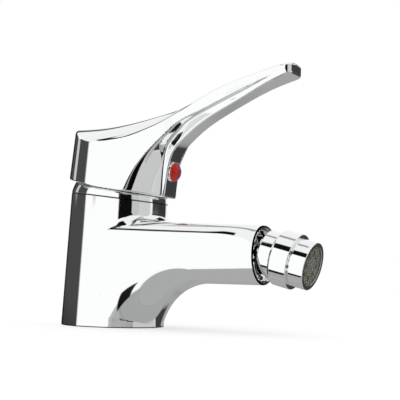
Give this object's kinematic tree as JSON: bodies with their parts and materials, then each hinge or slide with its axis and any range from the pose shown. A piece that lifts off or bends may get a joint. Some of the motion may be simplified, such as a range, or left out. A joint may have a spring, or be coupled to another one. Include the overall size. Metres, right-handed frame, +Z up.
{
  "type": "bidet mixer",
  "caption": "Single-lever bidet mixer: a round tilted body with a cast spout, a lever on a ceramic cartridge, and a ball-jointed nozzle with an aerator.",
  "frame": {"origin": "centre of the round base, on the deck", "axes": "+Z up from the deck, +X along the spout towards the nozzle, +Y to the left of the spout seen from behind the body"},
  "size_m": [0.145, 0.0568, 0.1356],
  "materials": {
    "chrome": "polished chrome plate on cast brass",
    "plug_chrome": "chromed plastic cap",
    "red_enamel": "red filling, gloss",
    "blue_enamel": "blue filling, gloss",
    "brass": "turned brass",
    "stainless": "turned stainless steel",
    "wire_mesh": "woven stainless wire, lightly scaled",
    "black_rubber": "moulded rubber",
    "disc_ceramic": "lapped alumina",
    "cartridge_plastic": "moulded white plastic",
    "nozzle_plastic": "moulded white plastic"
  },
  "bodies": {
    "body": {"mixer_body": "chrome", "dome_cover": "chrome", "base_seal": "black_rubber", "cartridge_base": "cartridge_plastic", "port_seals": "black_rubber", "fixed_disc": "disc_ceramic", "cartridge_housing": "cartridge_plastic", "cartridge_nut": "brass", "ball_stem": "chrome", "stem_washer": "black_rubber"},
    "turret": {"turret": "cartridge_plastic", "spindle_pin": "stainless"},
    "lever": {"lever": "chrome", "spindle": "stainless", "grub_screw": "stainless", "index_plug": "plug_chrome", "index_red": "red_enamel", "index_blue": "blue_enamel"},
    "disc": {"disc_carrier": "cartridge_plastic", "moving_disc": "disc_ceramic"},
    "ball_liner": {"ball_liner": "nozzle_plastic"},
    "ball_seal": {"ball_seal": "black_rubber"},
    "nozzle": {"swivel_socket": "chrome", "ball_retainer": "nozzle_plastic", "collar": "chrome", "aerator_washer": "black_rubber", "aerator_shell": "chrome", "aerator_mesh": "wire_mesh", "aerator_insert": "nozzle_plastic"}
  },
  "joints": [
    {"name": "lever_turn", "type": "hinge", "parent": "body", "child": "turret", "pos_m": [0.002, 0, 0.0683], "axis": [0.1132, 0, 0.9936], "range_deg": [-45, 45]},
    {"name": "lever_lift", "type": "hinge", "parent": "turret", "child": "lever", "pos_m": [0.002, 0, 0.0683], "axis": [0, -1, 0], "range_deg": [0, 22]},
    {"name": "disc_shift", "type": "slide", "parent": "turret", "child": "disc", "axis": [0.9936, 0, -0.1132], "range_m": [0, 0.0048]},
    {"name": "nozzle_yaw", "type": "hinge", "parent": "body", "child": "ball_liner", "pos_m": [0.0942, 0, 0.0391], "axis": [0, 0, 1], "range_deg": [-15, 15]},
    {"name": "nozzle_pitch", "type": "hinge", "parent": "ball_liner", "child": "ball_seal", "pos_m": [0.0942, 0, 0.0391], "axis": [0, -1, 0], "range_deg": [-3, 31]},
    {"name": "nozzle_spin", "type": "hinge", "parent": "ball_seal", "child": "nozzle", "pos_m": [0.0942, 0, 0.0391], "axis": [0.9703, 0, -0.2419], "continuous": true}
  ],
  "couplings": [
    {"joint": "disc_shift", "follows": "lever_lift", "m_per_rad": 0.01229}
  ]
}
